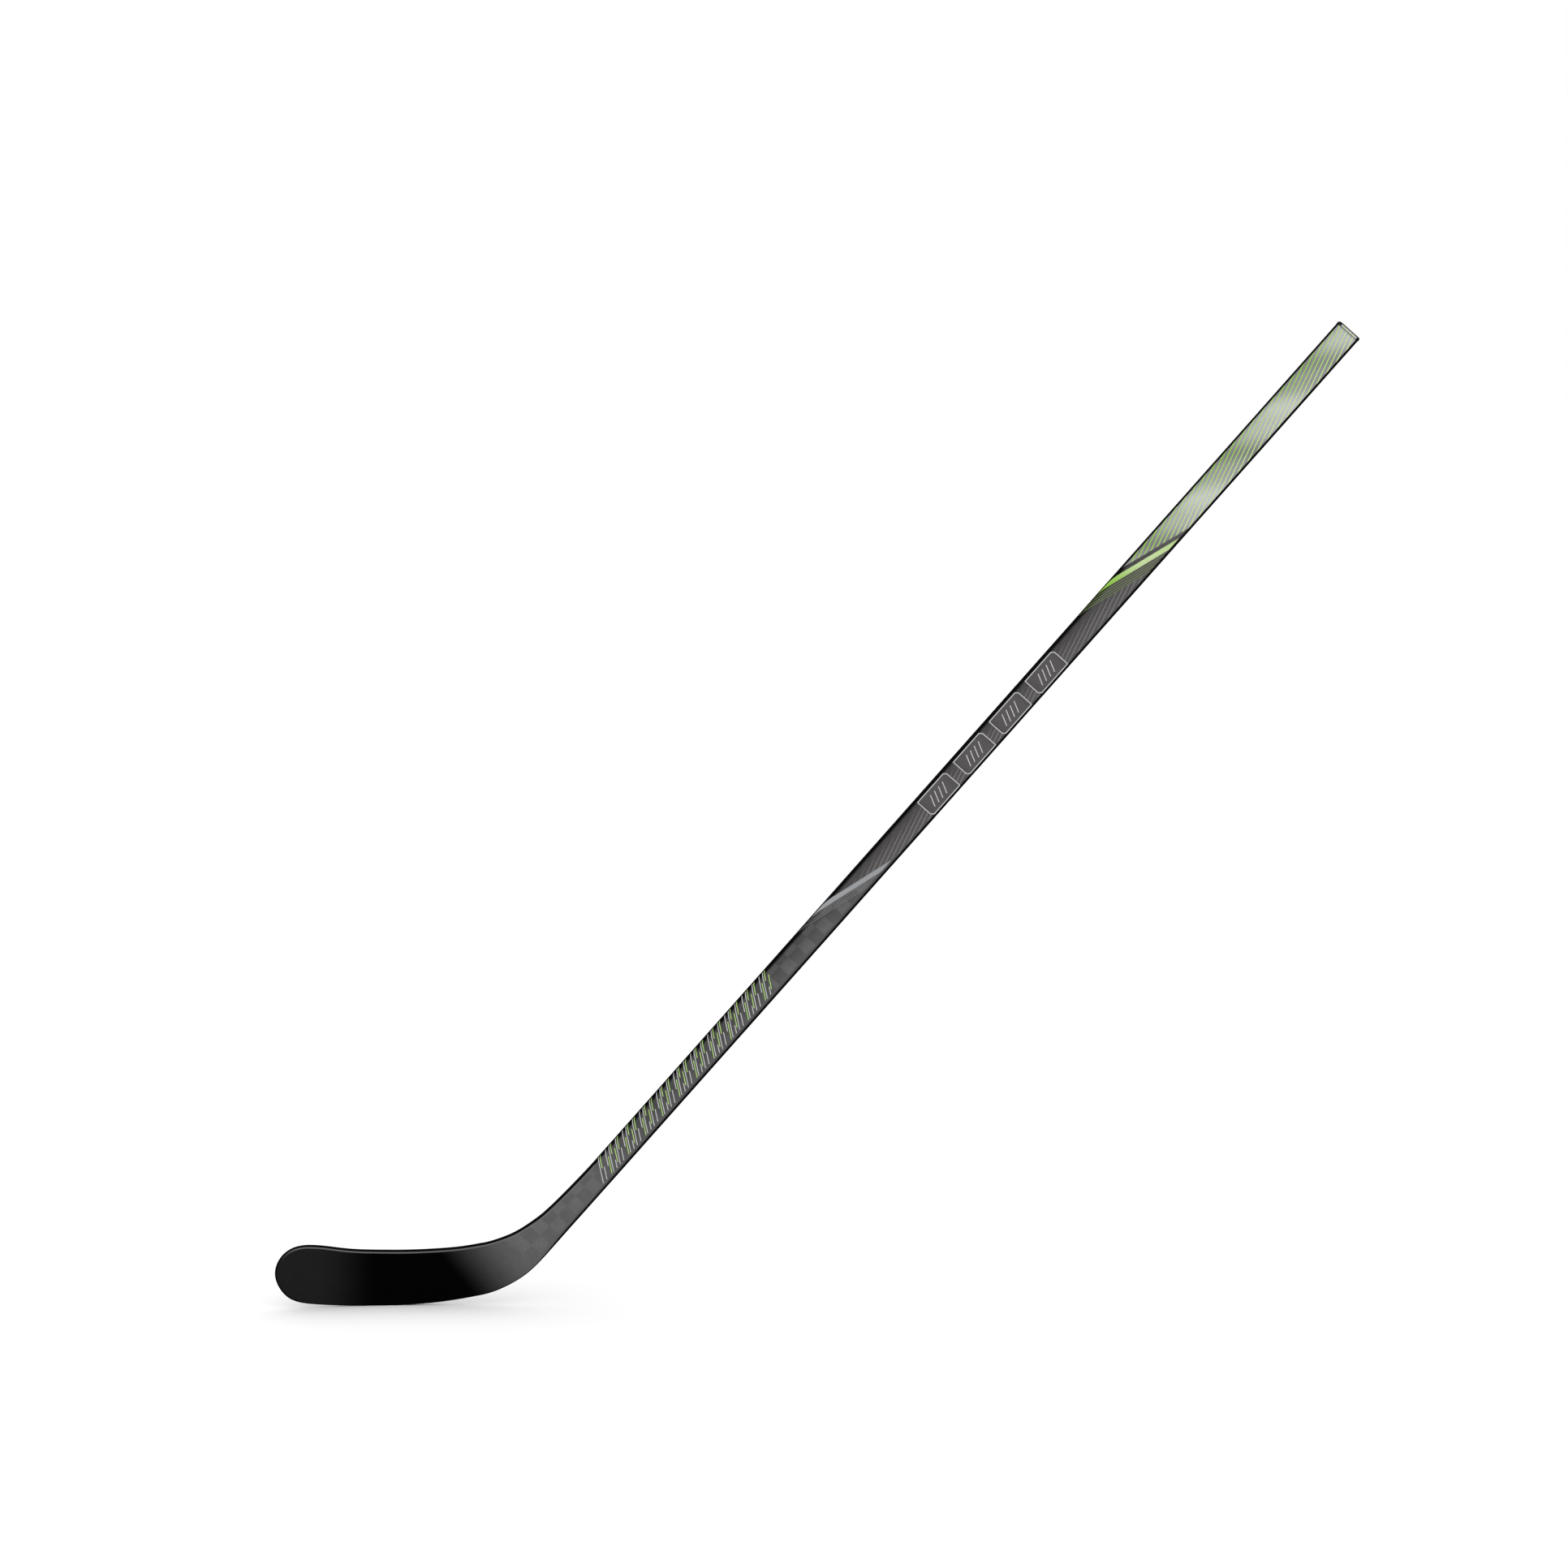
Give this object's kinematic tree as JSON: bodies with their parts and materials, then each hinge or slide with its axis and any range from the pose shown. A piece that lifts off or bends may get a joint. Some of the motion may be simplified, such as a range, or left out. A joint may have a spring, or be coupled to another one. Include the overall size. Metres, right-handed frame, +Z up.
{
  "type": "ice hockey stick",
  "caption": "Composite ice hockey stick with a curved blade, a hosel bonded into a hollow rectangular shaft, and a butt plug that pulls out.",
  "frame": {"origin": "the point of the sole that touches the ground, in the middle of the blade's thickness", "axes": "+Z up with the stick standing on its sole at its lie, +X from the toe towards the heel and the butt, -Y out of the forehand face"},
  "size_m": [1.2718, 0.0304, 1.1667],
  "materials": {
    "blade_laminate": "matt black painted carbon laminate",
    "blade_edge": "matt black edge laminate",
    "hosel_laminate": "satin lacquer over grey woven carbon",
    "woven_carbon": "satin lacquer over grey woven carbon",
    "structural_carbon": "unpainted unidirectional carbon",
    "core_foam": "rigid white foam",
    "damper_foam": "soft grey foam",
    "adhesive": "cured epoxy adhesive",
    "plug_plastic": "moulded black plastic"
  },
  "bodies": {
    "stick": {"shaft_weave_sleeve": "woven_carbon", "shaft_tube": "structural_carbon", "shaft_foam_damper": "damper_foam", "hosel_shell": "hosel_laminate", "hosel_foam_core": "core_foam", "hosel_tenon": "structural_carbon", "tenon_foam_core": "core_foam", "hosel_bond_sleeve": "adhesive", "shaft_bond_sleeve": "adhesive", "blade_front_skin": "blade_laminate", "blade_back_skin": "blade_laminate", "blade_toe_edge": "blade_edge", "blade_top_edge": "blade_edge", "blade_sole_edge": "blade_edge", "blade_centre_rib": "structural_carbon", "blade_upper_core": "core_foam", "blade_lower_core": "core_foam"},
    "plug": {"butt_plug": "plug_plastic"}
  },
  "joints": [
    {"name": "butt_plug_pull", "type": "slide", "parent": "stick", "child": "plug", "axis": [0.6587, 0, 0.7524], "range_m": [0, 0.042]}
  ]
}
